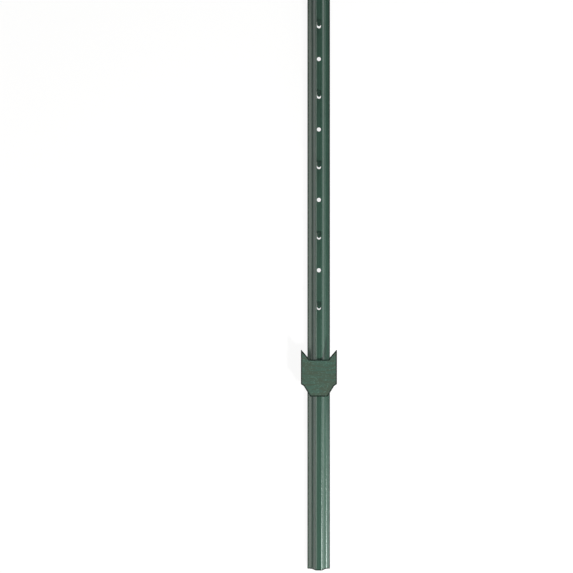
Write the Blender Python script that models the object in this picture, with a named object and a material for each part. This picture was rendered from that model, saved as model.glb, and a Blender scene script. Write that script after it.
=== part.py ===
"""Light-duty steel fence post, 5 ft: a roll-formed U post and its welded anchor plate.

The post lies along Y as it would on a floor, on the two lips of its flanges: ground end at -Y,
top end at +Y, crown, lugs and anchor plate up. Sizes are in millimetres until mm() turns them
into metres.
"""

import math

import bmesh
import bpy

# Post: strip rolled into a U with flared flanges, seen along Y
POST_LENGTH = 1524.0  # 5 ft
SECTION_WIDTH = 41.0  # 1 5/8 in over the flange lips
SECTION_DEPTH = 20.0  # floor under the lips to the outer face of the crown
SHEET_THICKNESS = 1.9  # 14 gauge
CROWN_FLAT = 6.4  # flat strip that the fence lies against
CROWN_BEND_RADIUS = 4.2  # outer face of the bend between crown and web
WEB_ANGLE = 66.0  # degrees from the floor
FLANGE_BEND_RADIUS = 4.0  # inner face of the bend between web and flange
FLANGE_ANGLE = 20.0  # degrees from the floor, the lips droop outward
CROWN_BEND_STEPS = 6
FLANGE_BEND_STEPS = 5

# Pattern along the crown: a lug and a hole in every pitch
PATTERN_PITCH = 127.0  # 5 in
LUG_FROM_TOP = 29.7  # top end to the middle of the first lug's slot
HOLE_FROM_TOP = 93.2  # top end to the middle of the first hole
PATTERN_CLEAR_OF_PLATE = 60.0  # no lug or hole closer than this above the plate's horns
HOLE_DIAMETER = 7.4
END_HOLE_FROM_TOP = 10.0  # extra hole near the top end
HOLE_STEPS = 24

# Lug: a tongue lanced out of the crown, rooted toward the top end, free toward the ground end
SLOT_WIDTH = 7.6
SLOT_LENGTH = 16.2
LUG_SIDE_CLEARANCE = 0.2  # cut between the tongue and each side of its slot
LUG_PROJECTED_LENGTH = 13.4  # seen square on to the crown
LUG_ROOT_BEND_SHARE = 0.2  # share of the tongue spent on the bend at its root
LUG_STRAIGHT_SHARE = 0.34  # share that rises at one angle
LUG_RISE_ANGLE = 37.0  # degrees, the steep stretch
LUG_TIP_ANGLE = 6.0  # degrees, where the free end turns level again
LUG_ROOT_EMBED = 1.5  # tongue and crown are one sheet here
LUG_FACE_INSET = 0.04  # forming thins the sheet at the root by this much on each face
LUG_PATH_STEPS = 9
LUG_END_STEPS = 6
SLOT_END_STEPS = 12

# Anchor plate: one flat stamping, welded to the crown
PLATE_WIDTH = 64.9
PLATE_THICKNESS = 2.0
PLATE_BACK_HEIGHT = 66.8  # bottom edge to the flat top edge between the horns
PLATE_FROM_GROUND = 314.0  # ground end to the plate's bottom edge
HORN_HEIGHT = 18.4  # horn tips above the flat top edge
HORN_FOOT_WIDTH = 15.2  # side of the plate to the end of the flat top edge
HORN_HOLLOW = 1.9  # how far the inner edge of a horn is hollowed from a straight line
HORN_TIP_RADIUS = 0.9
HORN_CURVE_STEPS = 8
SHOULDER_HEIGHT = 22.5  # bottom edge to the corners where the straight sides end
SHOULDER_STEP_IN = 5.2
SHOULDER_STEP_DOWN = 3.6
BOTTOM_EDGE_WIDTH = 31.2
PLATE_CORNER_RADIUS = 0.9
CORNER_STEPS = 3
WELD_GAP = 0.3  # crown to plate, where the weld joins them

# Dark green enamel, as baked on both pieces
ENAMEL_COLOUR = (0.036, 0.082, 0.062, 1.0)
ENAMEL_ROUGHNESS = 0.34


def mm(value):
    """Millimetres to metres."""
    return value / 1000.0


def clear_scene():
    """Remove every object that the scene starts with."""
    for item in list(bpy.data.objects):
        bpy.data.objects.remove(item, do_unlink=True)


def make_enamel(name, colour, roughness):
    """Painted steel as a plain Principled material."""
    material = bpy.data.materials.new(name)
    material.use_nodes = True
    shader = material.node_tree.nodes["Principled BSDF"]
    shader.inputs["Base Color"].default_value = colour
    shader.inputs["Roughness"].default_value = roughness
    shader.inputs["Metallic"].default_value = 0.0
    material.diffuse_color = colour
    return material


def add_object(name, mesh_builder, material=None):
    """Object named name with the closed mesh that mesh_builder fills in."""
    shape = bmesh.new()
    mesh_builder(shape)
    bmesh.ops.recalc_face_normals(shape, faces=shape.faces)
    mesh = bpy.data.meshes.new(name)
    shape.to_mesh(mesh)
    shape.free()
    item = bpy.data.objects.new(name, mesh)
    bpy.context.scene.collection.objects.link(item)
    if material is not None:
        mesh.materials.append(material)
    return item


def hide_cutter(item):
    """Keep a tool shape out of the finished part."""
    item.hide_render = True
    item.display_type = "WIRE"


def add_boolean(item, tool, operation):
    """Exact Boolean of item with a tool shape."""
    change = item.modifiers.new(operation.lower() + "_" + tool.name, "BOOLEAN")
    change.operation = operation
    change.solver = "EXACT"
    change.object = tool


def prism(shape, outline, place):
    """Closed prism over a counterclockwise outline.

    place(a, b, level) gives the point of the outline's a and b on level 0 or 1.
    """
    rings = []
    for level in (0, 1):
        rings.append([shape.verts.new(place(a, b, level)) for a, b in outline])
    count = len(outline)
    for index in range(count):
        after = (index + 1) % count
        shape.faces.new((rings[0][index], rings[0][after], rings[1][after], rings[1][index]))
    shape.faces.new(list(reversed(rings[0])))
    shape.faces.new(rings[1])


def straight_lengths():
    """Lengths of the web's and the flange's straight runs, on the middle of the sheet.

    The bends and angles are given, so these two lengths close the section on its stated
    width and depth.
    """
    web = math.radians(WEB_ANGLE)
    flange = math.radians(FLANGE_ANGLE)
    half_sheet = SHEET_THICKNESS / 2
    crown_radius = CROWN_BEND_RADIUS - half_sheet
    flange_radius = FLANGE_BEND_RADIUS + half_sheet
    across = (SECTION_WIDTH / 2 - half_sheet * math.sin(flange) - CROWN_FLAT / 2
              - crown_radius * math.sin(web)
              - flange_radius * (math.sin(web) - math.sin(flange)))
    down = (SECTION_DEPTH - half_sheet - half_sheet * math.cos(flange)
            - crown_radius * (1 - math.cos(web))
            - flange_radius * (math.cos(flange) - math.cos(web)))
    turn = math.sin(web - flange)
    web_length = (down * math.cos(flange) - across * math.sin(flange)) / turn
    flange_length = (across * math.sin(web) - down * math.cos(web)) / turn
    return web_length, flange_length


def half_section():
    """Points (x, z, slope) down the middle of the sheet, from the crown to the right lip."""
    web = math.radians(WEB_ANGLE)
    flange = math.radians(FLANGE_ANGLE)
    half_sheet = SHEET_THICKNESS / 2
    crown_radius = CROWN_BEND_RADIUS - half_sheet
    flange_radius = FLANGE_BEND_RADIUS + half_sheet
    web_length, flange_length = straight_lengths()
    level = SECTION_DEPTH - half_sheet
    points = []
    for step in range(CROWN_BEND_STEPS + 1):
        slope = web * step / CROWN_BEND_STEPS
        points.append((CROWN_FLAT / 2 + crown_radius * math.sin(slope),
                       level - crown_radius * (1 - math.cos(slope)), slope))
    x, z, _ = points[-1]
    x += web_length * math.cos(web)
    z -= web_length * math.sin(web)
    for step in range(FLANGE_BEND_STEPS + 1):
        slope = web + (flange - web) * step / FLANGE_BEND_STEPS
        points.append((x + flange_radius * (math.sin(web) - math.sin(slope)),
                       z - flange_radius * (math.cos(slope) - math.cos(web)), slope))
    x, z, _ = points[-1]
    points.append((x + flange_length * math.cos(flange), z - flange_length * math.sin(flange),
                   flange))
    return points


def section_outline():
    """Closed outline (x, z) of the rolled sheet, both faces and both lips."""
    half_sheet = SHEET_THICKNESS / 2
    right = half_section()
    outer = [(x + half_sheet * math.sin(s), z + half_sheet * math.cos(s)) for x, z, s in right]
    inner = [(x - half_sheet * math.sin(s), z - half_sheet * math.cos(s)) for x, z, s in right]
    outer_face = [(-x, z) for x, z in reversed(outer)] + outer
    inner_face = [(-x, z) for x, z in reversed(inner)] + inner
    return outer_face + list(reversed(inner_face))


def along_from_top(distance):
    """World Y, in mm, of a distance down from the top end."""
    return POST_LENGTH / 2 - distance


def along_from_ground(distance):
    """World Y, in mm, of a distance up from the ground end."""
    return distance - POST_LENGTH / 2


def pattern_places(first):
    """World Y of every feature that starts at first and repeats down to the anchor plate."""
    horns_from_ground = PLATE_FROM_GROUND + PLATE_BACK_HEIGHT + HORN_HEIGHT
    room = POST_LENGTH - first - horns_from_ground - PATTERN_CLEAR_OF_PLATE
    count = int(room // PATTERN_PITCH) + 1
    return [along_from_top(first + PATTERN_PITCH * index) for index in range(max(count, 1))]


def build_section(shape):
    """The rolled section, drawn out over the length of the post."""
    half_length = POST_LENGTH / 2
    prism(shape, section_outline(),
          lambda x, z, level: (mm(x), mm(half_length if level else -half_length), mm(z)))


def through_crown(shape, outline):
    """Prism over an (x, y) outline that passes right through the crown."""
    low = SECTION_DEPTH - 4 * SHEET_THICKNESS
    high = SECTION_DEPTH + 2 * SHEET_THICKNESS
    prism(shape, outline, lambda x, y, level: (mm(x), mm(y), mm(high if level else low)))


def build_hole_cutters(shape):
    """Punches for the round holes in the crown."""
    radius = HOLE_DIAMETER / 2
    for centre in [along_from_top(END_HOLE_FROM_TOP)] + pattern_places(HOLE_FROM_TOP):
        outline = []
        for step in range(HOLE_STEPS):
            turn = 2 * math.pi * (step + 0.5) / HOLE_STEPS
            outline.append((radius * math.cos(turn), centre + radius * math.sin(turn)))
        through_crown(shape, outline)


def build_slot_cutters(shape):
    """Punches for the slots that the lugs are lanced out of, round toward the ground end."""
    radius = SLOT_WIDTH / 2
    for centre in pattern_places(LUG_FROM_TOP):
        root = centre + SLOT_LENGTH / 2
        end = centre - SLOT_LENGTH / 2 + radius
        outline = [(radius, root), (-radius, root)]
        for step in range(SLOT_END_STEPS + 1):
            turn = math.pi + math.pi * step / SLOT_END_STEPS
            outline.append((radius * math.cos(turn), end + radius * math.sin(turn)))
        through_crown(shape, outline)


def lug_slope(share):
    """Slope of the tongue, in radians, at a share of its developed length."""
    rise = math.radians(LUG_RISE_ANGLE)
    tip = math.radians(LUG_TIP_ANGLE)
    if share < LUG_ROOT_BEND_SHARE:
        return rise * share / LUG_ROOT_BEND_SHARE
    turn_from = LUG_ROOT_BEND_SHARE + LUG_STRAIGHT_SHARE
    if share < turn_from:
        return rise
    blend = (share - turn_from) / (1 - turn_from)
    blend = blend * blend * (3 - 2 * blend)
    return rise + (tip - rise) * blend


def lug_developed_length():
    """Length of the tongue along its bend that projects to LUG_PROJECTED_LENGTH."""
    samples = 400
    run = sum(math.cos(lug_slope((step + 0.5) / samples)) for step in range(samples)) / samples
    return LUG_PROJECTED_LENGTH / run


def lug_path(length, distance):
    """Run and rise of the tongue's middle at a distance along its bend."""
    samples = 200
    run = 0.0
    rise = 0.0
    for step in range(samples):
        slope = lug_slope(distance * (step + 0.5) / samples / length)
        run += math.cos(slope) * distance / samples
        rise += math.sin(slope) * distance / samples
    return run, rise, lug_slope(min(distance / length, 1.0))


def lug_stations():
    """(run, rise, slope, half width) of each cross-section of the tongue."""
    length = lug_developed_length()
    radius = SLOT_WIDTH / 2 - LUG_SIDE_CLEARANCE
    stations = [(-LUG_ROOT_EMBED, 0.0, 0.0, radius)]
    round_from = length - radius
    for step in range(LUG_PATH_STEPS + 1):
        run, rise, slope = lug_path(length, round_from * step / LUG_PATH_STEPS)
        stations.append((run, rise, slope, radius))
    for step in range(1, LUG_END_STEPS + 1):
        turn = math.radians(84.0) * step / LUG_END_STEPS
        run, rise, slope = lug_path(length, round_from + radius * math.sin(turn))
        stations.append((run, rise, slope, radius * math.cos(turn)))
    return stations


def build_lugs(shape):
    """The tongues, each a swept strip of sheet with a round free end."""
    half_sheet = SHEET_THICKNESS / 2 - LUG_FACE_INSET
    stations = lug_stations()
    middle = SECTION_DEPTH - SHEET_THICKNESS / 2
    for centre in pattern_places(LUG_FROM_TOP):
        root = centre + SLOT_LENGTH / 2
        rings = []
        for run, rise, slope, half_width in stations:
            back = half_sheet * math.sin(slope)
            up = half_sheet * math.cos(slope)
            ring = []
            for side, face in ((-1, 1), (1, 1), (1, -1), (-1, -1)):
                ring.append(shape.verts.new((
                    mm(side * half_width),
                    mm(root - run + face * back),
                    mm(middle + rise + face * up),
                )))
            rings.append(ring)
        for ring, after in zip(rings, rings[1:]):
            for corner in range(4):
                beyond = (corner + 1) % 4
                shape.faces.new((ring[corner], ring[beyond], after[beyond], after[corner]))
        shape.faces.new(list(reversed(rings[0])))
        shape.faces.new(rings[-1])


def rounded(outline, radii):
    """Outline with each corner of a radius above zero rounded by a tangent arc."""
    result = []
    count = len(outline)
    for index, (corner, radius) in enumerate(zip(outline, radii)):
        before = outline[index - 1]
        after = outline[(index + 1) % count]
        if radius <= 0:
            result.append(corner)
            continue
        back = (before[0] - corner[0], before[1] - corner[1])
        ahead = (after[0] - corner[0], after[1] - corner[1])
        back_length = math.hypot(*back)
        ahead_length = math.hypot(*ahead)
        back = (back[0] / back_length, back[1] / back_length)
        ahead = (ahead[0] / ahead_length, ahead[1] / ahead_length)
        cosine = max(-1.0, min(1.0, back[0] * ahead[0] + back[1] * ahead[1]))
        half_angle = math.acos(cosine) / 2
        reach = min(radius / math.tan(half_angle), 0.45 * back_length, 0.45 * ahead_length)
        start = (corner[0] + back[0] * reach, corner[1] + back[1] * reach)
        stop = (corner[0] + ahead[0] * reach, corner[1] + ahead[1] * reach)
        for step in range(CORNER_STEPS + 1):
            share = step / CORNER_STEPS
            keep = (1 - share) ** 2
            pull = 2 * share * (1 - share)
            lead = share ** 2
            result.append((keep * start[0] + pull * corner[0] + lead * stop[0],
                           keep * start[1] + pull * corner[1] + lead * stop[1]))
    return result


def plate_outline():
    """Closed outline (x, y) of the anchor plate, y from its bottom edge."""
    half = PLATE_WIDTH / 2
    tip = PLATE_BACK_HEIGHT + HORN_HEIGHT
    foot = half - HORN_FOOT_WIDTH
    half_bottom = BOTTOM_EDGE_WIDTH / 2
    right = [
        (half_bottom, 0.0),
        (half - SHOULDER_STEP_IN, SHOULDER_HEIGHT - SHOULDER_STEP_DOWN),
        (half, SHOULDER_HEIGHT),
        (half, tip),
    ]
    radii = [PLATE_CORNER_RADIUS, PLATE_CORNER_RADIUS, PLATE_CORNER_RADIUS, HORN_TIP_RADIUS]
    lean = math.hypot(HORN_FOOT_WIDTH, HORN_HEIGHT)
    pull_x = (half + foot) / 2 - 2 * HORN_HOLLOW * HORN_HEIGHT / lean
    pull_y = (tip + PLATE_BACK_HEIGHT) / 2 - 2 * HORN_HOLLOW * HORN_FOOT_WIDTH / lean
    for step in range(1, HORN_CURVE_STEPS + 1):
        share = step / HORN_CURVE_STEPS
        keep = (1 - share) ** 2
        pull = 2 * share * (1 - share)
        lead = share ** 2
        right.append((keep * half + pull * pull_x + lead * foot,
                      keep * tip + pull * pull_y + lead * PLATE_BACK_HEIGHT))
        radii.append(0.0)
    left = [(-x, y) for x, y in reversed(right)]
    return rounded(right + left, radii + list(reversed(radii)))


def build_plate(shape):
    """The stamped anchor plate, flat on the crown."""
    low = SECTION_DEPTH + WELD_GAP
    bottom = along_from_ground(PLATE_FROM_GROUND)
    prism(shape, plate_outline(),
          lambda x, y, level: (mm(x), mm(bottom + y), mm(low + level * PLATE_THICKNESS)))


def shade(item, angle):
    """Smooth shading with sharp edges above an angle in degrees."""
    item.data.shade_smooth()
    item.data.set_sharp_from_angle(angle=math.radians(angle))


def main():
    """Build the post and its anchor plate."""
    clear_scene()
    post_enamel = make_enamel("post_enamel", ENAMEL_COLOUR, ENAMEL_ROUGHNESS)
    plate_enamel = make_enamel("plate_enamel", ENAMEL_COLOUR, ENAMEL_ROUGHNESS)
    post = add_object("u_post", build_section, post_enamel)
    slots = add_object("slot_punch", build_slot_cutters)
    holes = add_object("hole_punch", build_hole_cutters)
    lugs = add_object("lug_tongues", build_lugs)
    for tool in (slots, holes, lugs):
        hide_cutter(tool)
    add_boolean(post, slots, "DIFFERENCE")
    add_boolean(post, holes, "DIFFERENCE")
    add_boolean(post, lugs, "UNION")
    shade(post, 30.0)
    plate = add_object("anchor_plate", build_plate, plate_enamel)
    shade(plate, 30.0)


main()
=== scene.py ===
"""Finished look of the light-duty steel fence post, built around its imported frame.

The rolled U post and its anchor plate are remade here as finer meshes of the same form and
size, with real bends, formed lugs and rounded sheet edges, and dressed in dark green enamel.
The post lies on a pale floor, lips down, and the camera looks straight down on its crown.
Sizes are in millimetres until mm() turns them into metres.
"""

import logging
import math
from dataclasses import dataclass, field
from enum import Enum
from itertools import accumulate
from typing import Callable, Sequence

import bmesh
import bpy
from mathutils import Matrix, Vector
from mathutils.geometry import delaunay_2d_cdt


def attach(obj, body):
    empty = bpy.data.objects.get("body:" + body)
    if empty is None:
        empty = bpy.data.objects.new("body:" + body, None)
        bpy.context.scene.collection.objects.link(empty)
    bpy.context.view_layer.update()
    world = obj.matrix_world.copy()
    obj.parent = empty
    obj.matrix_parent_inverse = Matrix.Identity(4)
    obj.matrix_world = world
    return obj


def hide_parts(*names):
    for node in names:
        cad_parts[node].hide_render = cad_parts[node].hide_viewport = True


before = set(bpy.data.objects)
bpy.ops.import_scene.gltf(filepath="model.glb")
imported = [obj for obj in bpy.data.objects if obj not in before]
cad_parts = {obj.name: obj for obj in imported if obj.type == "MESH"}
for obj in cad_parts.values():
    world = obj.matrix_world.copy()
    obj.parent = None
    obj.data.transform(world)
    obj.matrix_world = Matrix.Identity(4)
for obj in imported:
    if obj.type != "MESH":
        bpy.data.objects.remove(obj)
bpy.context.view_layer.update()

LOG = logging.getLogger("fence_post")
PIXELS = 573
SENSOR_MM = 36.0
MM_PER_M = 1000.0
POST_LENGTH = 1524.0
CROWN_LEVEL = 20.0
CUT_EDGE = "cut_edge"
# Faces turned downward, which take painted shade.
UNDERSIDE_SHADE = "underside_painted_shade"
# How near a point lies to a sheared edge, which places the painted dark edge shade.
RIM_SHARE = "rim_share"
RIM_REACH = 3.0
RIM_STOPS = (0.5, 1.0, 1.5, 2.2, RIM_REACH)
SHARP_ANGLE = math.radians(50.0)
ROUND_STEPS = 3
ROUND_PROFILE = 0.5
FACES_DOWN = -0.2
UPRIGHT = 0.5
SAME_DIGITS = 4
NOISE_MIDDLE = 0.5
GREEN = (0.04, 0.09, 0.07, 1.0)
WHITE = (1.0, 1.0, 1.0, 1.0)
SOCKET_KINDS = {1: "NodeSocketFloat", 3: "NodeSocketVector", 4: "NodeSocketColor"}

Point = tuple[float, float]
Point3 = tuple[float, float, float]
Colour = tuple[float, float, float, float]
Sockets = bpy.types.bpy_prop_collection


class Light(Enum):
    """What a lamp gives."""

    BODY = "body"
    SHEEN = "sheen"


def mm(value: float) -> float:
    """Millimetres to metres."""
    return value / MM_PER_M


def spaced(low: float, high: float, most: float) -> list[float]:
    """Evenly spaced stops between two places.

    Args:
        low: First stop.
        high: Last stop.
        most: Largest step allowed.

    Returns:
        The stops, both ends included.
    """
    steps = max(1, math.ceil((high - low) / most))
    return [low + (high - low) * step / steps for step in range(steps + 1)]


def between(start: Point, stop: Point, share: float) -> Point:
    """Point at a share of the straight way from start to stop."""
    return (start[0] + (stop[0] - start[0]) * share, start[1] + (stop[1] - start[1]) * share)


def on_circle(place: Point, centre: float, radius: float) -> Point:
    """Point, toward a place, of a circle whose centre lies on the post's middle line."""
    reach = math.hypot(place[0], place[1] - centre)
    return (place[0] * radius / reach, centre + (place[1] - centre) * radius / reach)


def on_bow(start: Vector, pull: Vector, stop: Vector, share: float) -> Point:
    """Point of a curve from start to stop that a third point pulls toward itself."""
    place = start.lerp(pull, share).lerp(pull.lerp(stop, share), share)
    return place.x, place.y


def add_object(name: str, data: bpy.types.ID) -> bpy.types.Object:
    """Put a new object into the scene.

    Args:
        name: The object's name.
        data: Its mesh, light or camera.

    Returns:
        The object.
    """
    item = bpy.data.objects.new(name, data)
    bpy.context.scene.collection.objects.link(item)
    return item


@dataclass(frozen=True)
class RolledSection:
    """Section of the post: crown, two webs and two flared flanges, rolled from one strip."""

    width: float = 41.0
    depth: float = CROWN_LEVEL
    sheet: float = 1.9
    crown_flat: float = 6.4
    crown_bend: float = 4.2
    web_angle: float = 66.0
    flange_bend: float = 4.0
    flange_angle: float = 20.0

    def stretches(self) -> list[tuple[float, float, float]]:
        """The strip's straight and bent stretches, from the middle of the crown to a lip.

        Returns:
            Length along the middle of the sheet, first slope and last slope of each one.
        """
        web = math.radians(self.web_angle)
        flange = math.radians(self.flange_angle)
        half = self.sheet / 2
        crown_radius = self.crown_bend - half
        flange_radius = self.flange_bend + half
        across = (self.width / 2 - half * math.sin(flange) - self.crown_flat / 2
                  - crown_radius * math.sin(web)
                  - flange_radius * (math.sin(web) - math.sin(flange)))
        down = (self.depth - half - half * math.cos(flange)
                - crown_radius * (1 - math.cos(web))
                - flange_radius * (math.cos(flange) - math.cos(web)))
        turn = math.sin(web - flange)
        web_run = (down * math.cos(flange) - across * math.sin(flange)) / turn
        flange_run = (across * math.sin(web) - down * math.cos(web)) / turn
        return [(self.crown_flat / 2, 0.0, 0.0), (crown_radius * web, 0.0, web),
                (web_run, web, web), (flange_radius * (web - flange), web, flange),
                (flange_run, flange, flange)]

    def fold(self, across: float) -> Point:
        """Where a point of the flat strip ends up in the section.

        Args:
            across: Distance from the middle of the strip, along the sheet.

        Returns:
            X and Z of the middle of the sheet.
        """
        rest = abs(across)
        x = 0.0
        z = self.depth - self.sheet / 2
        for length, first, last in self.stretches():
            run = min(rest, length)
            rest -= run
            if first == last:
                x += run * math.cos(first)
                z -= run * math.sin(first)
            else:
                radius = length / (last - first)
                slope = first + run / radius
                x += radius * (math.sin(slope) - math.sin(first))
                z += radius * (math.cos(slope) - math.cos(first))
        return math.copysign(x, across), z


@dataclass(frozen=True)
class LugForm:
    """A lug: the slot it is lanced from and the curve of its tongue."""

    slot_width: float = 7.6
    slot_length: float = 16.2
    side_cut: float = 0.2
    reach: float = 13.4
    root_share: float = 0.2
    straight_share: float = 0.34
    rise_angle: float = 36.5
    tip_angle: float = 6.0
    end_turn: float = 80.0
    steps: int = 14
    end_steps: int = 7
    fine_steps: int = 600

    def half_tongue(self) -> float:
        """Half the width of the tongue."""
        return self.slot_width / 2 - self.side_cut

    def slope(self, share: float) -> float:
        """Slope of the tongue.

        Args:
            share: Share of the tongue's own length, from its root.

        Returns:
            The slope in radians.
        """
        rise = math.radians(self.rise_angle)
        tip = math.radians(self.tip_angle)
        if share < self.root_share:
            return rise * share / self.root_share
        turn_from = self.root_share + self.straight_share
        if share < turn_from:
            return rise
        blend = (share - turn_from) / (1 - turn_from)
        return rise + (tip - rise) * blend * blend * (3 - 2 * blend)

    def stations(self) -> list[tuple[float, float, float]]:
        """Cross-sections of the tongue, from its root to its round end.

        Returns:
            Run, rise and the share of the full width that is left, for each one.
        """
        fine = self.fine_steps
        run = sum(math.cos(self.slope((step + 0.5) / fine)) for step in range(fine)) / fine
        length = self.reach / run
        radius = self.half_tongue()
        stops = [(length - radius) * step / self.steps for step in range(self.steps + 1)]
        widths = [1.0] * len(stops)
        for step in range(1, self.end_steps + 1):
            turn = math.radians(self.end_turn) * step / self.end_steps
            stops.append(length - radius + radius * math.sin(turn))
            widths.append(math.cos(turn))
        result = []
        for stop, width in zip(stops, widths):
            slopes = [self.slope(stop * (step + 0.5) / fine / length) for step in range(fine)]
            result.append((sum(map(math.cos, slopes)) * stop / fine,
                           sum(map(math.sin, slopes)) * stop / fine, width))
        return result


class StripMesh:
    """Middle surface of the strip, folded into the section as its points are placed."""

    def __init__(self, section: RolledSection) -> None:
        """Start an empty sheet.

        Args:
            section: The section that the strip is rolled to.
        """
        self.section = section
        self.shape = bmesh.new()
        self.placed: dict[Point, bmesh.types.BMVert] = {}

    def at(self, across: float, along: float) -> bmesh.types.BMVert:
        """Vertex of a point of the flat strip, made once.

        Args:
            across: Distance from the middle of the strip.
            along: World Y.

        Returns:
            The vertex.
        """
        key = (round(across, SAME_DIGITS), round(along, SAME_DIGITS))
        if key not in self.placed:
            x, z = self.section.fold(across)
            self.placed[key] = self.shape.verts.new((mm(x), mm(along), mm(z)))
        return self.placed[key]

    def grid(self, columns: Sequence[float], rows: Sequence[float]) -> None:
        """Fill a block of the strip with quads.

        Args:
            columns: Places across the strip, rising.
            rows: Places along the post, rising.
        """
        for low, high in zip(rows, rows[1:]):
            for left, right in zip(columns, columns[1:]):
                self.shape.faces.new((self.at(left, low), self.at(right, low),
                                      self.at(right, high), self.at(left, high)))

    def rim(self, outer: Sequence[Point], inner: Sequence[Point], steps: int) -> None:
        """Fill the sheet between the edge of a block and the edge of a cut-out.

        Args:
            outer: Points along the block's edge, counterclockwise round the cut-out.
            inner: The cut-out's point that belongs to each outer one.
            steps: Rings of quads.
        """
        for ring in range(steps):
            near, far = ring / steps, (ring + 1) / steps
            for index in range(len(outer) - 1):
                corners = [
                    between(outer[index], inner[index], near),
                    between(outer[index + 1], inner[index + 1], near),
                    between(outer[index + 1], inner[index + 1], far),
                    between(outer[index], inner[index], far),
                ]
                self.shape.faces.new([self.at(*corner) for corner in corners])

    def thicken(self, name: str) -> bpy.types.Object:
        """Give the sheet its thickness.

        Args:
            name: Name of the new object.

        Returns:
            An object with a closed mesh whose sheared faces have material index 1.
        """
        mesh = bpy.data.meshes.new(name)
        self.shape.to_mesh(mesh)
        self.shape.free()
        for index in range(2):
            mesh.materials.append(bpy.data.materials.new(f"blank_{name}_{index}"))
        item = add_object(name, mesh)
        solid = item.modifiers.new("sheet", "SOLIDIFY")
        solid.thickness = mm(self.section.sheet)
        solid.offset = 0.0
        solid.use_even_offset = True
        solid.use_quality_normals = True
        solid.material_offset_rim = 1
        return item


def apply_modifiers(item: bpy.types.Object) -> None:
    """Replace an object's mesh by its modified one.

    Args:
        item: The object, which keeps no modifier.
    """
    depsgraph = bpy.context.evaluated_depsgraph_get()
    mesh = bpy.data.meshes.new_from_object(item.evaluated_get(depsgraph),
                                           preserve_all_data_layers=True, depsgraph=depsgraph)
    item.modifiers.clear()
    old = item.data
    item.data = mesh
    mesh.name = item.name
    bpy.data.meshes.remove(old)


def round_edges(shape: bmesh.types.BMesh, wanted: Callable[[bmesh.types.BMEdge], float],
                sheared: Callable[[bmesh.types.BMFace], bool]) -> None:
    """Round the sheet's edges and mark its sheared faces.

    Args:
        shape: The closed mesh.
        wanted: Radius for a sharp edge, in millimetres, or 0 to leave it.
        sheared: Whether a face of the plain mesh is a sheared one.
    """
    cut = shape.faces.layers.float.new(CUT_EDGE)
    for face in shape.faces:
        face[cut] = 1.0 if sheared(face) else 0.0
    groups: dict[float, list[bmesh.types.BMEdge]] = {}
    for edge in shape.edges:
        if len(edge.link_faces) == 2 and edge.calc_face_angle(0.0) > SHARP_ANGLE:
            radius = wanted(edge)
            if radius > 0:
                groups.setdefault(radius, []).append(edge)
    for radius in sorted(groups, reverse=True):
        edges = [edge for edge in groups[radius] if edge.is_valid]
        made = bmesh.ops.bevel(shape, geom=edges, offset=mm(radius), segments=ROUND_STEPS,
                               profile=ROUND_PROFILE, affect="EDGES", clamp_overlap=False)
        for face in made["faces"]:
            face[cut] = 1.0


def finish_mesh(item: bpy.types.Object, shape: bmesh.types.BMesh,
                from_edge: Callable[[Vector], float]) -> None:
    """Mark the faces turned downward and the nearness to sheared edges, where painted shade goes,
    and give the mesh to its object.

    Args:
        item: The object.
        shape: The closed mesh, which is freed.
        from_edge: Millimetres from a point of the mesh to the nearest sheared edge.
    """
    underside_shade = shape.faces.layers.float.new(UNDERSIDE_SHADE)
    rim = shape.verts.layers.float.new(RIM_SHARE)
    for face in shape.faces:
        face.material_index = 0
        face.smooth = True
        # Faces turned downward, inside the U and under the lugs and plate, get painted shade.
        face[underside_shade] = 1.0 if face.normal.z < FACES_DOWN else 0.0
    for vertex in shape.verts:
        # Nearness to a sheared edge, which places the painted dark edge shade.
        vertex[rim] = 1.0 - min(1.0, from_edge(vertex.co) / RIM_REACH)
    shape.to_mesh(item.data)
    shape.free()
    item.modifiers.new("weighted", "WEIGHTED_NORMAL")
    apply_modifiers(item)


class FormedSheet:
    """A piece of formed sheet steel."""

    def dress(self, item: bpy.types.Object, enamel: bpy.types.Material) -> None:
        """Put the enamel on the piece."""
        item.data.materials.clear()
        item.data.materials.append(enamel)


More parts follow.
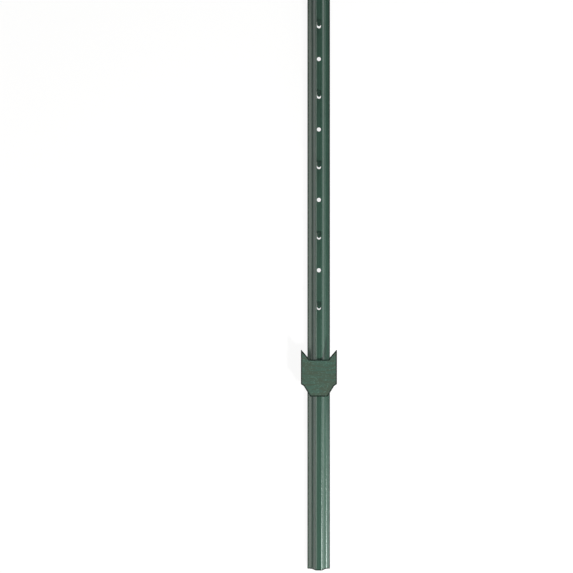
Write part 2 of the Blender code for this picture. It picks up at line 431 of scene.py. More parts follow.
@dataclass
class RolledPost(FormedSheet):
    """The U post: rolled strip, punched holes and lanced lugs in one piece.

    side_steps gives the widest column on the crown's bend, web, flange's bend and flange.
    """

    length: float = POST_LENGTH
    section: RolledSection = field(default_factory=RolledSection)
    lug: LugForm = field(default_factory=LugForm)
    pitch: float = 127.0
    lug_from_top: float = 29.7
    hole_from_top: float = 93.2
    end_hole_from_top: float = 10.0
    lug_count: int = 9
    hole_count: int = 8
    hole_diameter: float = 7.4
    patch: float = 5.0
    hole_block: float = 5.6
    slot_margin: float = 1.9
    crown_stops: Point = (1.2, 2.4)
    side_steps: tuple[float, ...] = (0.35, 4.0, 0.36, 2.5)
    row_step: float = 16.0
    slot_step: float = 2.0
    round_step: float = 1.4
    hole_rings: int = 4
    slot_rings: int = 3
    end_round: float = 0.3
    rim_round: float = 0.08
    lip_zone: float = 1.5
    end_zone: float = 0.5
    lug_clear: float = 0.5
    punch_offset: float = 2.0

    def crown_columns(self) -> list[float]:
        """Columns across the crown, with the tongue's and the slot's sides among them.

        Returns:
            Places across the strip, rising.
        """
        slot = self.lug.slot_width / 2
        third = (self.patch - slot) / 3
        right = [*self.crown_stops, self.section.crown_flat / 2, self.lug.half_tongue(), slot,
                 slot + third, slot + 2 * third, self.patch]
        return [-place for place in reversed(right)] + [0.0] + right

    def side_columns(self) -> list[float]:
        """Columns from the crown's patch over the bends to a lip.

        Returns:
            Places across the right half of the strip, rising.
        """
        stops = list(accumulate(length for length, _, _ in self.section.stretches()))
        lip = stops[-1]
        stops[0], stops[-1] = self.patch, lip - RIM_REACH
        columns: list[float] = []
        for low, high, step in zip(stops, stops[1:], self.side_steps):
            columns += spaced(low, high, step)[:-1]
        return columns + [lip - stop for stop in reversed(RIM_STOPS)] + [lip]

    def sides(self, strip: StripMesh, rows: Sequence[float]) -> None:
        """Fill both webs and flanges between the rows of a stretch."""
        strip.grid(self.side_columns(), rows)
        strip.grid([-place for place in reversed(self.side_columns())], rows)

    def hole(self, strip: StripMesh, centre: float) -> None:
        """A punched hole and the block of sheet around it.

        Args:
            strip: The sheet to fill.
            centre: World Y of the hole.
        """
        columns = self.crown_columns()
        rows = spaced(centre - self.hole_block, centre + self.hole_block, self.round_step)
        outer = [(place, rows[0]) for place in columns]
        outer += [(self.patch, row) for row in rows[1:]]
        outer += [(place, rows[-1]) for place in reversed(columns[:-1])]
        outer += [(-self.patch, row) for row in reversed(rows[:-1])]
        inner = [on_circle(place, centre, self.hole_diameter / 2) for place in outer]
        strip.rim(outer, inner, self.hole_rings)
        self.sides(strip, rows)

    def slot(self, strip: StripMesh, centre: float) -> None:
        """A lug's slot, with the block of sheet around it and the tongue.

        Args:
            strip: The sheet to fill.
            centre: World Y of the slot's middle.
        """
        half = self.lug.slot_width / 2
        root = centre + self.lug.slot_length / 2
        turn = centre - self.lug.slot_length / 2 + half
        low = centre - self.lug.slot_length / 2 - self.slot_margin
        rows = spaced(low, turn, self.round_step)[:-1] + spaced(turn, root, self.slot_step)
        outer = [(-self.patch, row) for row in reversed(rows)]
        outer += [(place, low) for place in self.crown_columns()[1:]]
        outer += [(self.patch, row) for row in rows[1:]]
        inner = [(math.copysign(half, place[0]), place[1]) if place[1] >= turn
                 else on_circle(place, turn, half) for place in outer]
        strip.rim(outer, inner, self.slot_rings)
        self.sides(strip, rows)
        self.tongue(strip, root)

    def tongue(self, strip: StripMesh, root: float) -> None:
        """The tongue of a lug, rooted in the crown and bowed out of it.

        Args:
            strip: The sheet to fill.
            root: World Y of the tongue's root.
        """
        slot = self.lug.slot_width / 2
        columns = [place for place in self.crown_columns() if abs(place) < slot]
        before = [strip.at(place, root) for place in columns]
        for run, rise, width in self.lug.stations()[1:]:
            row = []
            for place in columns:
                x, z = self.section.fold(place)
                row.append(strip.shape.verts.new((mm(x * width), mm(root - run), mm(z + rise))))
            for index in range(len(columns) - 1):
                strip.shape.faces.new((row[index], row[index + 1], before[index + 1],
                                       before[index]))
            before = row

    def edge_radius(self, edge: bmesh.types.BMEdge) -> float:
        """How far an edge of the post is rounded.

        Args:
            edge: A sharp edge.

        Returns:
            The radius in millimetres.
        """
        middle = (edge.verts[0].co + edge.verts[1].co) / 2
        at_lip = abs(middle.x) > mm(self.section.width / 2 - self.lip_zone)
        at_end = abs(middle.y) > mm(self.length / 2 - self.end_zone)
        return self.end_round if at_lip or at_end else self.rim_round

    def hole_centres(self) -> list[float]:
        """World Y of the middle of each punched hole, from the top end down."""
        tied = [self.hole_from_top + self.pitch * step for step in range(self.hole_count)]
        return [self.length / 2 - place for place in [self.end_hole_from_top] + tied]

    def slot_centres(self) -> list[float]:
        """World Y of the middle of each lug's slot, from the top end down."""
        first = self.length / 2 - self.lug_from_top
        return [first - self.pitch * step for step in range(self.lug_count)]

    def from_edge(self, place: Vector) -> float:
        """Distance from a point of the post to the nearest sheared edge.

        Args:
            place: A point of the mesh, in metres.

        Returns:
            The distance in millimetres, up to a few.
        """
        x, y, z = (MM_PER_M * value for value in place)
        across = abs(x)
        lean = math.cos(math.radians(self.section.flange_angle))
        nearest = min(self.length / 2 - abs(y), (self.section.width / 2 - across) / lean)
        if across > self.patch:
            return max(0.0, nearest)
        for centre in self.hole_centres():
            beside = math.hypot(across, y - centre) - self.hole_diameter / 2
            nearest = min(nearest, beside + self.punch_offset)
        half = self.lug.slot_width / 2
        for centre in self.slot_centres():
            root = centre + self.lug.slot_length / 2
            if not root - self.lug.slot_length - RIM_REACH < y <= root:
                continue
            turn = centre - self.lug.slot_length / 2 + half
            if z > self.section.depth + self.lug_clear:
                turn = root - self.lug.reach + half
            reach = across if y > turn else math.hypot(across, y - turn)
            nearest = min(nearest, abs(reach - half) + self.punch_offset)
        return max(0.0, nearest)

    def build(self) -> bpy.types.Object:
        """Make the post's mesh.

        Returns:
            The post as an object.
        """
        top = self.length / 2
        strip = StripMesh(self.section)
        half = self.lug.slot_length / 2
        features = [(centre - self.hole_block, centre + self.hole_block, self.hole, centre)
                    for centre in self.hole_centres()]
        features += [(centre - half - self.slot_margin, centre + half, self.slot, centre)
                     for centre in self.slot_centres()]
        crown = self.crown_columns()
        reached = RIM_REACH - top
        plain = [[-top] + [stop - top for stop in RIM_STOPS],
                 [top - stop for stop in reversed(RIM_STOPS)] + [top]]
        for low, high, make, centre in sorted(features, key=lambda entry: entry[0]):
            plain.append(spaced(reached, low, self.row_step))
            make(strip, centre)
            reached = high
        plain.append(spaced(reached, top - RIM_REACH, self.row_step))
        for rows in plain:
            strip.grid(crown, rows)
            self.sides(strip, rows)
        item = strip.thicken("rolled_post")
        apply_modifiers(item)
        shape = bmesh.new()
        shape.from_mesh(item.data)
        round_edges(shape, self.edge_radius, lambda face: face.material_index == 1)
        finish_mesh(item, shape, self.from_edge)
        return item


@dataclass
class AnchorPlate(FormedSheet):
    """The flat stamped plate that is welded to the crown, horns toward the top end."""

    width: float = 64.9
    sheet: float = 2.0
    back_height: float = 66.8
    from_ground: float = 314.0
    horn_height: float = 18.4
    horn_foot: float = 15.2
    horn_hollow: float = 1.9
    horn_steps: int = 14
    horn_first: int = 2
    tip_radius: float = 0.9
    shoulder: float = 22.5
    step_in: float = 5.2
    step_down: float = 3.6
    bottom_edge: float = 31.2
    corner_radius: float = 0.9
    corner_steps: int = 6
    corner_share: float = 0.45
    weld_gap: float = 0.3
    face_round: float = 0.3
    back_round: float = 0.12
    level_slack: float = 0.1
    crown_level: float = CROWN_LEVEL
    post_length: float = POST_LENGTH
    cell: float = 3.0
    rim_cell: float = 2.0
    rim_slack: float = 0.96
    rim_clear: float = 1.0
    many_corners: int = 20
    same_point: float = 1e-7

    def bottom(self) -> float:
        """World Y of the plate's bottom edge."""
        return self.from_ground - self.post_length / 2

    def soften(self, outline: Sequence[Point], radii: Sequence[float]) -> list[Point]:
        """Round the corners of an outline.

        Args:
            outline: Corners, counterclockwise.
            radii: Radius of each corner, 0 to keep it.

        Returns:
            The outline with an arc at each rounded corner.
        """
        result: list[Point] = []
        for index, (corner, radius) in enumerate(zip(outline, radii)):
            if radius <= 0:
                result.append(corner)
                continue
            here = Vector(corner)
            back = Vector(outline[index - 1]) - here
            ahead = Vector(outline[(index + 1) % len(outline)]) - here
            half_angle = back.angle(ahead) / 2
            reach = min(radius / math.tan(half_angle), self.corner_share * back.length,
                        self.corner_share * ahead.length)
            start = here + back.normalized() * reach
            stop = here + ahead.normalized() * reach
            result += [on_bow(start, here, stop, step / self.corner_steps)
                       for step in range(self.corner_steps + 1)]
        return result

    def outline(self) -> list[Point]:
        """Closed outline, Y from the plate's bottom edge.

        Returns:
            Points, counterclockwise.
        """
        half = self.width / 2
        tip = self.back_height + self.horn_height
        foot = half - self.horn_foot
        right: list[Point] = [
            (self.bottom_edge / 2, 0.0),
            (half - self.step_in, self.shoulder - self.step_down),
            (half, self.shoulder),
            (half, tip),
        ]
        radii = [self.corner_radius] * 3 + [self.tip_radius]
        lean = math.hypot(self.horn_foot, self.horn_height)
        pull = Vector(((half + foot) / 2 - 2 * self.horn_hollow * self.horn_height / lean,
                       (tip + self.back_height) / 2
                       - 2 * self.horn_hollow * self.horn_foot / lean))
        start, stop = Vector((half, tip)), Vector((foot, self.back_height))
        for step in range(self.horn_first, self.horn_steps + 1):
            right.append(on_bow(start, pull, stop, step / self.horn_steps))
            radii.append(0.0)
        left = [(-x, y) for x, y in reversed(right)]
        return self.soften(right + left, radii + list(reversed(radii)))

    def edge_radius(self, edge: bmesh.types.BMEdge) -> float:
        """How far an edge of the plate is rounded.

        Args:
            edge: A sharp edge.

        Returns:
            The radius in millimetres, larger on the face that the punch rolled over.
        """
        level = (edge.verts[0].co.z + edge.verts[1].co.z) / 2
        if abs(edge.verts[0].co.z - edge.verts[1].co.z) > mm(self.level_slack):
            return 0.0
        middle = mm(self.crown_level + self.weld_gap + self.sheet / 2)
        return self.face_round if level > middle else self.back_round

    def from_edge(self, place: Vector) -> float:
        """Distance from a point of the plate to its outline.

        Args:
            place: A point of the mesh, in metres.

        Returns:
            The distance in millimetres.
        """
        here = Vector((MM_PER_M * place.x, MM_PER_M * place.y - self.bottom()))
        corners = [Vector(corner) for corner in self.outline()]
        nearest = self.width
        for start, stop in zip(corners, corners[1:] + corners[:1]):
            run = stop - start
            share = max(0.0, min(1.0, (here - start).dot(run) / run.length_squared))
            nearest = min(nearest, (here - start - run * share).length)
        return nearest

    def inner_points(self, rim: Sequence[Vector]) -> list[Vector]:
        """Points that divide a face of the plate, closest beside its rim.

        Args:
            rim: The face's corners, in metres, counterclockwise.

        Returns:
            Points inside the face, in metres.
        """
        points: list[Vector] = []
        for start, stop in zip(rim, list(rim[1:]) + list(rim[:1])):
            run = stop - start
            inward = Vector((-run.y, run.x)).normalized()
            for depth in RIM_STOPS[1:]:
                for share in spaced(0.0, 1.0, mm(self.rim_cell) / run.length)[:-1]:
                    place = start + run * share + inward * mm(depth)
                    if self.from_edge(place.to_3d()) > self.rim_slack * depth:
                        points.append(place)
        low = self.bottom()
        core = RIM_REACH + self.rim_clear
        for x in spaced(-self.width / 2, self.width / 2, self.cell):
            for y in spaced(low, low + self.back_height + self.horn_height, self.cell):
                place = Vector((mm(x), mm(y)))
                if self.holds(x, y - low) and self.from_edge(place.to_3d()) > core:
                    points.append(place)
        return points

    def holds(self, x: float, y: float) -> bool:
        """Whether a point lies inside the outline.

        Args:
            x: Its place across the plate.
            y: Its height above the bottom edge.

        Returns:
            True inside.
        """
        inside = False
        corners = self.outline()
        for (x0, y0), (x1, y1) in zip(corners, corners[1:] + corners[:1]):
            if (y0 > y) != (y1 > y):
                inside ^= x < x0 + (y - y0) * (x1 - x0) / (y1 - y0)
        return inside

    def divide(self, shape: bmesh.types.BMesh, face: bmesh.types.BMFace) -> None:
        """Replace a flat many-sided face by small triangles.

        Args:
            shape: The plate's mesh.
            face: Its top or its bottom face.
        """
        upward = face.normal.z > 0
        rim = [loop.vert for loop in face.loops]
        if not upward:
            rim.reverse()
        level = rim[0].co.z
        flat = [vertex.co.to_2d() for vertex in rim]
        points = flat + self.inner_points(flat)
        made = delaunay_2d_cdt(points, [], [list(range(len(flat)))], 1, self.same_point)
        vertices = []
        for place, sources in zip(made[0], made[3]):
            known = [source for source in sources if source < len(rim)]
            vertices.append(rim[known[0]] if known
                            else shape.verts.new((place.x, place.y, level)))
        shape.faces.remove(face)
        for corners in made[2]:
            loop = [vertices[corner] for corner in corners]
            shape.faces.new(loop if upward else list(reversed(loop)))

    def build(self) -> bpy.types.Object:
        """Make the plate's mesh.

        Returns:
            The plate as an object.
        """
        low = self.crown_level + self.weld_gap
        bottom = self.bottom()
        shape = bmesh.new()
        rings = []
        for level in (low, low + self.sheet):
            rings.append([shape.verts.new((mm(x), mm(bottom + y), mm(level)))
                          for x, y in self.outline()])
        count = len(rings[0])
        for index in range(count):
            after = (index + 1) % count
            shape.faces.new((rings[0][index], rings[0][after], rings[1][after],
                             rings[1][index]))
        shape.faces.new(list(reversed(rings[0])))
        shape.faces.new(rings[1])
        item = add_object("stamped_plate", bpy.data.meshes.new("stamped_plate"))
        shape.normal_update()
        round_edges(shape, self.edge_radius, lambda face: abs(face.normal.z) < UPRIGHT)
        for face in [face for face in shape.faces if len(face.verts) > self.many_corners]:
            self.divide(shape, face)
        shape.normal_update()
        finish_mesh(item, shape, self.from_edge)
        return item


class NodeBench:
    """Adds, feeds and links the nodes of one tree."""

    def __init__(self, tree: bpy.types.NodeTree) -> None:
        """Work on a tree."""
        self.tree = tree

    def feed(self, node: bpy.types.Node, values: dict[int | str, object]) -> None:
        """Give inputs of a node their links or plain values.

        Args:
            node: The node.
            values: A socket or a value for each input that isn't left alone.
        """
        for name, value in values.items():
            if isinstance(value, bpy.types.NodeSocket):
                self.tree.links.new(value, node.inputs[name])
            else:
                node.inputs[name].default_value = value

    def add(self, kind: str, values: dict[int | str, object] | None = None,
            **settings: object) -> bpy.types.Node:
        """Add a node.

        Args:
            kind: The node's type.
            values: A socket or a value for each input that isn't left alone.
            settings: Properties of the node and their values.

        Returns:
            The node.
        """
        node = self.tree.nodes.new(kind)
        for name, value in settings.items():
            setattr(node, name, value)
        self.feed(node, values or {})
        return node

    def group(self, tree: bpy.types.NodeTree, values: dict[int | str, object]) -> Sockets:
        """Outputs of a group that is placed with some values of its own."""
        return self.add("ShaderNodeGroup", values, node_tree=tree).outputs

    def place(self) -> bpy.types.NodeSocket:
        """Coordinates on the object, in metres."""
        return self.add("ShaderNodeTexCoord").outputs["Object"]

    def mark(self, name: str) -> bpy.types.NodeSocket:
        """Value that the mesh carries under a name."""
        return self.add("ShaderNodeAttribute", attribute_name=name).outputs["Fac"]

    def maths(self, operation: str, first: object, second: object = 0.0,
              clamp: bool = False) -> bpy.types.NodeSocket:
        """Result of a Math node on two sockets or numbers, kept from 0 to 1 if clamped."""
        return self.add("ShaderNodeMath", {0: first, 1: second}, operation=operation,
                        use_clamp=clamp).outputs[0]

    def blend(self, share: object, first: object, second: object) -> bpy.types.NodeSocket:
        """Colour at a share of the way from the first to the second."""
        return self.add("ShaderNodeMix", {0: share, 6: first, 7: second},
                        data_type="RGBA").outputs[2]

    def remap(self, value: object, low: float, high: float, out_low: object = 0.0,
              out_high: object = 1.0) -> bpy.types.NodeSocket:
        """Value moved smoothly from the range low to high to the range out_low to out_high."""
        return self.add("ShaderNodeMapRange", {0: value, 1: low, 2: high, 3: out_low, 4: out_high},
                        interpolation_type="SMOOTHSTEP").outputs[0]

    def noise(self, place: object, scale: object, detail: float,
              rough: float = 0.5) -> bpy.types.NodeSocket:
        """Noise around 0.5, from its cells per metre, its octaves and how strong these are."""
        return self.add("ShaderNodeTexNoise", {"Vector": place, "Scale": scale, "Detail": detail,
                                               "Roughness": rough}).outputs["Fac"]

    def stretch(self, place: object, scale: object) -> bpy.types.NodeSocket:
        """Coordinates multiplied axis by axis."""
        return self.add("ShaderNodeVectorMath", {0: place, 1: scale},
                        operation="MULTIPLY").outputs[0]


class EnamelGroups:
    """The shader node groups that both enamels share."""

    def __init__(self) -> None:
        """Build each group once."""
        self.clouds = self.make_clouds()
        self.peel = self.make_peel()
        self.rolling = self.make_rolling()
        self.edges = self.make_edge_shade()

    def start(self, name: str, inputs: dict[str, object],
              outputs: Sequence[str]) -> tuple[NodeBench, Sockets, bpy.types.Node]:
        """Begin a group.

        Args:
            name: The group's name.
            inputs: Each input's name and its value: a number, a vector or a colour.
            outputs: Each output's name: Colour is a colour and the others are numbers.

        Returns:
            The group's bench, what its inputs give and its output node.
        """
        tree = bpy.data.node_groups.new(name, "ShaderNodeTree")
        for label, value in inputs.items():
            kind = SOCKET_KINDS[len(value) if isinstance(value, tuple) else 1]
            socket = tree.interface.new_socket(label, in_out="INPUT", socket_type=kind)
            socket.default_value = value
        for label in outputs:
            kind = SOCKET_KINDS[4 if label == "Colour" else 1]
            tree.interface.new_socket(label, in_out="OUTPUT", socket_type=kind)
        bench = NodeBench(tree)
        return bench, bench.add("NodeGroupInput").outputs, bench.add("NodeGroupOutput")

    def make_clouds(self) -> bpy.types.NodeTree:
        """Tone of the enamel: broad clouds, flow streaks along the post and fine mottle.

        Returns:
            The group.
        """
        bench, given, end = self.start(
            "enamel_clouds",
            {"Colour": GREEN, "Deep Colour": GREEN, "Pale Colour": GREEN, "Cloud Scale": 14.0,
             "Cloud Share": 0.5, "Mottle Scale": 420.0, "Mottle Share": 0.3,
             "Streak Scale": (110.0, 5.0, 110.0), "Streak Share": 0.6},
            ("Colour", "Mask"))
        place = bench.place()
        cloud = bench.noise(place, given["Cloud Scale"], detail=4.0)
        streak = bench.noise(bench.stretch(place, given["Streak Scale"]), 1.0, detail=3.0)
        mottle = bench.noise(place, given["Mottle Scale"], detail=3.0, rough=0.6)
        flow = bench.maths("MULTIPLY", bench.maths("SUBTRACT", streak, NOISE_MIDDLE),
                           given["Streak Share"])
        deep = bench.remap(bench.maths("ADD", cloud, flow), low=0.32, high=0.7,
                           out_high=given["Cloud Share"])
        pale = bench.remap(mottle, low=0.5, high=0.72, out_high=given["Mottle Share"])
        tone = bench.blend(deep, given["Colour"], given["Deep Colour"])
        tone = bench.blend(pale, tone, given["Pale Colour"])
        bench.feed(end, {"Colour": tone, "Mask": cloud})
        return bench.tree

    def make_peel(self) -> bpy.types.NodeTree:
        """Orange peel of baked enamel over the slight waves of cold-worked sheet.

        Returns:
            The group.
        """
        bench, given, end = self.start(
            "orange_peel", {"Peel Scale": 380.0, "Peel": 0.2, "Wave Scale": 16.0, "Wave": 0.6},
            ("Height",))
        place = bench.place()
        peel = bench.noise(place, given["Peel Scale"], detail=2.0)
        wave = bench.noise(bench.stretch(place, (1.0, 0.7, 1.0)), given["Wave Scale"],
                           detail=2.0)
        total = bench.maths("ADD", bench.maths("MULTIPLY", peel, given["Peel"]),
                            bench.maths("MULTIPLY", wave, given["Wave"]))
        bench.feed(end, {"Height": total})
        return bench.tree

    def make_rolling(self) -> bpy.types.NodeTree:
        """Fine lines that the forming rolls leave along the post, under the enamel.

        Returns:
            The group.
        """
        bench, given, end = self.start("rolling_lines", {"Lines": 700.0, "Depth": 0.2},
                                       ("Height", "Mask"))
        along = bench.stretch(bench.place(), (1.0, 0.012, 1.0))
        lines = bench.noise(along, given["Lines"], detail=2.0, rough=0.6)
        mask = bench.remap(lines, low=0.35, high=0.7)
        bench.feed(end, {"Height": bench.maths("MULTIPLY", mask, given["Depth"]), "Mask": mask})
        return bench.tree

    def make_edge_shade(self) -> bpy.types.NodeTree:
        """Thin enamel on the sheared faces, and painted shade: a dark band beside each sheared
        edge and a darker tone on faces turned down. In the band the dark metal takes the gloss,
        which dims the reflection there as painted shade too.

        Returns:
            The group.
        """
        bench, given, end = self.start(
            "thin_enamel_and_edge_shade",
            {"Colour": GREEN, "Edge Shade Colour": GREEN, "Edge Shade Share": 0.95, "Underside Shade Colour": GREEN,
             "Underside Shade Share": 0.4, "Band": 0.4, "Band Start": 0.6, "Break-up": 260.0,
             "Waver": 0.1},
            ("Colour", "Mask", "Gloss"))
        grain = bench.noise(bench.place(), given["Break-up"], detail=3.0)
        waver = bench.maths("MULTIPLY", bench.maths("SUBTRACT", grain, NOISE_MIDDLE),
                            given["Waver"])
        # Painted shade: a dark band a few millimetres wide beside each sheared edge, added to the
        # thin enamel of the sheared faces themselves.
        from_rim = bench.maths("ADD", bench.maths("SUBTRACT", 1.0, bench.mark(RIM_SHARE)), waver)
        band_start = bench.maths("MULTIPLY", given["Band"], given["Band Start"])
        edge_shade_band_mask = bench.remap(from_rim, band_start, given["Band"], out_low=1.0, out_high=0.0)
        worn = bench.remap(grain, low=0.3, high=0.6, out_low=0.7)
        thin_enamel_and_edge_shade_mask = bench.maths("MULTIPLY", bench.maths("MAXIMUM", bench.mark(CUT_EDGE), edge_shade_band_mask), worn)
        share = bench.maths("MULTIPLY", thin_enamel_and_edge_shade_mask, given["Edge Shade Share"], clamp=True)
        # Painted shade: faces turned downward take a darker colour.
        inner = bench.maths("MULTIPLY", bench.mark(UNDERSIDE_SHADE), given["Underside Shade Share"], clamp=True)
        tone = bench.blend(inner, given["Colour"], given["Underside Shade Colour"])
        tone = bench.blend(share, tone, given["Edge Shade Colour"])
        # Where the painted edge shade lies, the gloss falls away.
        gloss = bench.remap(share, low=0.0, high=1.0, out_low=1.0, out_high=0.2)
        bench.feed(end, {"Colour": tone, "Mask": bench.maths("MAXIMUM", share, inner),
                         "Gloss": gloss})
        return bench.tree


@dataclass(frozen=True)
class Enamel:
    """Dark green enamel, baked on steel."""

    name: str
    colour: Colour
    deep: Colour
    pale: Colour
    # The edge colour is painted shade on sheared edges and in the band beside them.
    edge: Colour
    # The colour below is painted shade for faces turned downward.
    underside_shade: Colour
    edge_shade_band: float = 0.4
    streak_scale: Point3 = (110.0, 5.0, 110.0)
    streak_share: float = 0.6
    roughness: float = 0.3
    rough_spread: float = 0.1
    cloud_rough: float = 0.6
    line_rough: float = 0.4
    edge_rough: float = 0.3
    specular: float = 0.4
    coat: float = 0.2
    coat_roughness: float = 0.12
    cloud_scale: float = 14.0
    cloud_share: float = 0.5
    mottle_share: float = 0.3
    wave: float = 0.6
    line_depth: float = 0.2
    bump_strength: float = 0.5
    bump_height: float = 0.05

    def build(self, groups: EnamelGroups) -> bpy.types.Material:
        """Make the material.

        Args:
            groups: The shared node groups.

        Returns:
            The material.
        """
        material = bpy.data.materials.new(self.name)
        material.use_nodes = True
        material.diffuse_color = self.colour
        bench = NodeBench(material.node_tree)
        clouds = bench.group(groups.clouds, {
            "Colour": self.colour, "Deep Colour": self.deep, "Pale Colour": self.pale,
            "Cloud Scale": self.cloud_scale, "Cloud Share": self.cloud_share,
            "Mottle Share": self.mottle_share, "Streak Scale": self.streak_scale,
            "Streak Share": self.streak_share})
        # Painted shade on edges and on faces turned down, over thin enamel on the sheared faces.
        edges = bench.group(groups.edges, {
            "Colour": clouds["Colour"], "Edge Shade Colour": self.edge,
            "Underside Shade Colour": self.underside_shade, "Band": self.edge_shade_band})
        peel = bench.group(groups.peel, {"Wave": self.wave})
        rolling = bench.group(groups.rolling, {"Depth": self.line_depth})
        spread = bench.maths("ADD", bench.maths("MULTIPLY", clouds["Mask"], self.cloud_rough),
                             bench.maths("MULTIPLY", rolling["Mask"], self.line_rough))
        rough = bench.remap(spread, low=0.2, high=0.8,
                            out_low=self.roughness - self.rough_spread / 2,
                            out_high=self.roughness + self.rough_spread / 2)
        edge_rough = bench.maths("MULTIPLY", edges["Mask"], self.edge_rough)
        bump = bench.add("ShaderNodeBump", {
            "Strength": self.bump_strength, "Distance": mm(self.bump_height),
            "Height": bench.maths("ADD", peel["Height"], rolling["Height"])})
        gloss = edges["Gloss"]
        bench.feed(material.node_tree.nodes["Principled BSDF"], {
            "Base Color": edges["Colour"],
            "Roughness": bench.maths("ADD", rough, edge_rough),
            "Normal": bump.outputs["Normal"],
            # The dark metal in the edge band dims its reflection: painted shade on the gloss.
            "Metallic": bench.maths("SUBTRACT", 1.0, gloss),
            "Specular IOR Level": self.specular,
            "Coat Weight": bench.maths("MULTIPLY", gloss, self.coat),
            "Coat Roughness": self.coat_roughness})
        return material


@dataclass(frozen=True)
class LampPlan:
    """One soft rectangular lamp. Places and sizes are in metres, its power in watts."""

    name: str
    place: Point3
    target: Point3
    size: Point
    power: float
    colour: Point3
    gives: Light

    def hang(self) -> bpy.types.Object:
        """Hang the lamp, facing its target.

        Returns:
            The lamp.
        """
        light = bpy.data.lights.new(self.name, "AREA")
        light.shape = "RECTANGLE"
        light.size, light.size_y = self.size
        light.energy = self.power
        light.color = self.colour
        item = add_object(self.name, light)
        item.location = self.place
        toward = Vector(self.target) - Vector(self.place)
        item.rotation_euler = toward.to_track_quat("-Z", "Y").to_euler()
        item.visible_diffuse = self.gives is Light.BODY
        item.visible_glossy = self.gives is Light.SHEEN
        return item


LAMPS = (
    LampPlan("left_sheet", place=(-1.1, -1.0, 1.5), target=(0.0, -0.6, 0.0),
             size=(1.0, 1.0), power=12.0, colour=(1.0, 0.98, 0.93), gives=Light.BODY),
    LampPlan("left_sheen", place=(-1.7, -0.8, 1.4), target=(0.0, -0.4, 0.0),
             size=(3.2, 2.4), power=78.0, colour=(1.0, 0.98, 0.93), gives=Light.SHEEN),
    LampPlan("right_sheet", place=(1.4, -0.8, 0.45), target=(0.0, -0.5, 0.01),
             size=(1.0, 0.6), power=11.0, colour=(0.93, 1.0, 0.98), gives=Light.BODY),
    LampPlan("ground_end_key", place=(1.0, -1.55, 0.9), target=(0.0, -0.41, 0.02),
             size=(0.24, 0.24), power=34.0, colour=(1.0, 0.99, 0.95), gives=Light.BODY),
    LampPlan("sheen_box", place=(1.42, -1.17, 0.84), target=(0.0, -0.85, 0.0),
             size=(0.5, 0.55), power=42.0, colour=(0.93, 1.0, 0.98), gives=Light.SHEEN),
    LampPlan("top_end_fill", place=(0.8, 6.0, 1.9), target=(0.0, -0.2, 0.02),
             size=(1.5, 1.5), power=150.0, colour=(1.0, 1.0, 0.96), gives=Light.BODY),
)


@dataclass
class Studio:
    """Pale floor, soft lamps and a white surround, in metres."""

    floor_size: float = 60.0
    floor_cells: int = 24
    floor_drop: float = 0.00005
    floor_tone: float = 0.86
    tone_spread: float = 0.01
    grain_scale: float = 3.0
    near_glow: float = 0.8
    glow_strength: float = 1.1
    full_glow_from: float = 1.1
    full_glow_at: float = 2.6
    surround: float = 0.1

    def background_rays(self, bench: NodeBench) -> bpy.types.NodeSocket:
        """1 for camera, glossy and transmission rays, 0 for the rest.

        Args:
            bench: Bench of the tree that needs it.

        Returns:
            The mask.
        """
        rays = bench.add("ShaderNodeLightPath").outputs
        seen = bench.maths("MAXIMUM", rays["Is Camera Ray"], rays["Is Glossy Ray"])
        return bench.maths("MAXIMUM", seen, rays["Is Transmission Ray"])

    def paint_floor(self) -> bpy.types.Material:
        """Matt floor that turns into plain white away from the post.

        Returns:
            The floor's material.
        """
        material = bpy.data.materials.new("pale_floor")
        material.use_nodes = True
        bench = NodeBench(material.node_tree)
        nodes = material.node_tree.nodes
        nodes.remove(nodes["Principled BSDF"])
        place = bench.place()
        grain = bench.noise(place, self.grain_scale, detail=2.0)
        tone = bench.remap(grain, low=0.3, high=0.7, out_low=self.floor_tone - self.tone_spread,
                           out_high=self.floor_tone + self.tone_spread)
        paint = bench.add("ShaderNodeCombineColor", dict.fromkeys(range(3), tone)).outputs[0]
        matt = bench.add("ShaderNodeBsdfDiffuse", {"Color": paint})
        away = bench.add("ShaderNodeVectorMath", {0: place}, operation="LENGTH")
        share = bench.remap(away.outputs["Value"], self.full_glow_from, self.full_glow_at,
                            out_low=self.near_glow)
        glow = bench.add("ShaderNodeEmission", {"Strength": self.glow_strength})
        mix = bench.add("ShaderNodeMixShader", {
            0: bench.maths("MULTIPLY", self.background_rays(bench), share),
            1: matt.outputs[0],
            2: glow.outputs[0]})
        bench.feed(nodes["Material Output"], {"Surface": mix.outputs[0]})
        return material

    def lay_floor(self) -> bpy.types.Object:
        """The pale floor that keeps the post's shadow.

        Returns:
            The floor.
        """
        shape = bmesh.new()
        bmesh.ops.create_grid(shape, x_segments=self.floor_cells, y_segments=self.floor_cells,
                              size=self.floor_size / 2)
        mesh = bpy.data.meshes.new("floor")
        shape.to_mesh(mesh)
        shape.free()
        mesh.materials.append(self.paint_floor())
        floor = add_object("floor", mesh)
        floor.location.z = -self.floor_drop
        return floor

    def surround_world(self) -> None:
        """White behind the floor, and a soft grey light from all round."""
        world = bpy.data.worlds.new("surround")
        world.use_nodes = True
        bpy.context.scene.world = world
        bench = NodeBench(world.node_tree)
        rays = bench.add("ShaderNodeLightPath").outputs
        strength = bench.remap(rays["Is Camera Ray"], low=0.0, high=1.0, out_low=self.surround)
        bench.feed(world.node_tree.nodes["Background"],
                   {"Color": WHITE, "Strength": strength})

    def build(self) -> None:
        """Set up floor, surround and lamps."""
        self.lay_floor()
        self.surround_world()
        for plan in LAMPS:
            plan.hang()


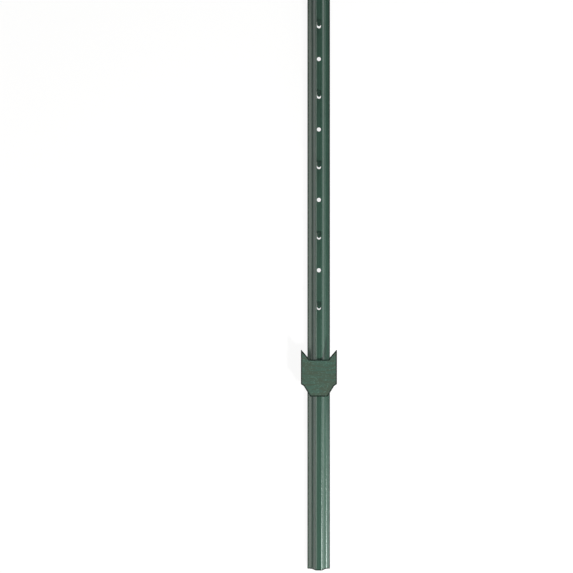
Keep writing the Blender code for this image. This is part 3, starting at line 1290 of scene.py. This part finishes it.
@dataclass
class PhotoCamera:
    """Camera straight above the crown, on the photograph's frame."""

    millimetres_per_pixel: float = 1.8038
    crown_level: float = CROWN_LEVEL
    crown_from_left: float = 318.9
    ground_end_from_top: float = 570.6
    post_length: float = POST_LENGTH
    height: float = 2520.0
    sight: float = 50000.0

    def build(self) -> bpy.types.Object:
        """Place the camera.

        Returns:
            The camera.
        """
        data = bpy.data.cameras.new("photo_camera")
        data.sensor_width = SENSOR_MM
        data.lens = SENSOR_MM * self.height / self.millimetres_per_pixel / PIXELS
        data.clip_end = mm(self.sight)
        camera = add_object("photo_camera", data)
        middle = PIXELS / 2
        camera.location = (
            -mm((self.crown_from_left - middle) * self.millimetres_per_pixel),
            mm((self.ground_end_from_top - middle) * self.millimetres_per_pixel
               - self.post_length / 2),
            mm(self.crown_level + self.height),
        )
        bpy.context.scene.camera = camera
        return camera


POST_ENAMEL = Enamel(
    name="post_enamel_baked",
    colour=(0.036, 0.085, 0.062, 1.0),
    deep=(0.028, 0.069, 0.052, 1.0),
    pale=(0.043, 0.097, 0.073, 1.0),
    # Painted shade for the sheared edges and the band beside them.
    edge=(0.007, 0.014, 0.011, 1.0),
    # Painted shade for faces turned downward.
    underside_shade=(0.020, 0.034, 0.028, 1.0),
    edge_shade_band=0.95,
)
PLATE_ENAMEL = Enamel(
    name="plate_enamel_baked",
    colour=(0.050, 0.102, 0.078, 1.0),
    deep=(0.054, 0.078, 0.056, 1.0),
    pale=(0.090, 0.185, 0.145, 1.0),
    # Painted shade for the sheared edges and the band beside them.
    edge=(0.006, 0.012, 0.010, 1.0),
    # Painted shade for faces turned downward.
    underside_shade=(0.024, 0.046, 0.037, 1.0),
    edge_shade_band=0.9,
    streak_scale=(45.0, 420.0, 110.0),
    streak_share=2.6,
    roughness=0.4,
    cloud_scale=36.0,
    cloud_share=0.9,
    mottle_share=0.8,
    wave=0.9,
    line_depth=0.0,
)


def main() -> None:
    """Build each piece in order, dress it and place the camera."""
    logging.basicConfig(level=logging.INFO, format="%(name)s: %(message)s")
    scene = bpy.context.scene
    scene.view_settings.view_transform = "Standard"
    groups = EnamelGroups()
    pieces = (
        (RolledPost(), POST_ENAMEL, "u_post", "post_enamel"),
        (AnchorPlate(), PLATE_ENAMEL, "anchor_plate", "plate_enamel"),
    )
    for maker, enamel, node, slot in pieces:
        item = maker.build()
        maker.dress(item, enamel.build(groups))
        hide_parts(node)
        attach(item, "root")
        LOG.info("%s: %d faces", item.name, len(item.data.polygons))
    Studio().build()
    PhotoCamera().build()


if __name__ == "__main__":
    main()
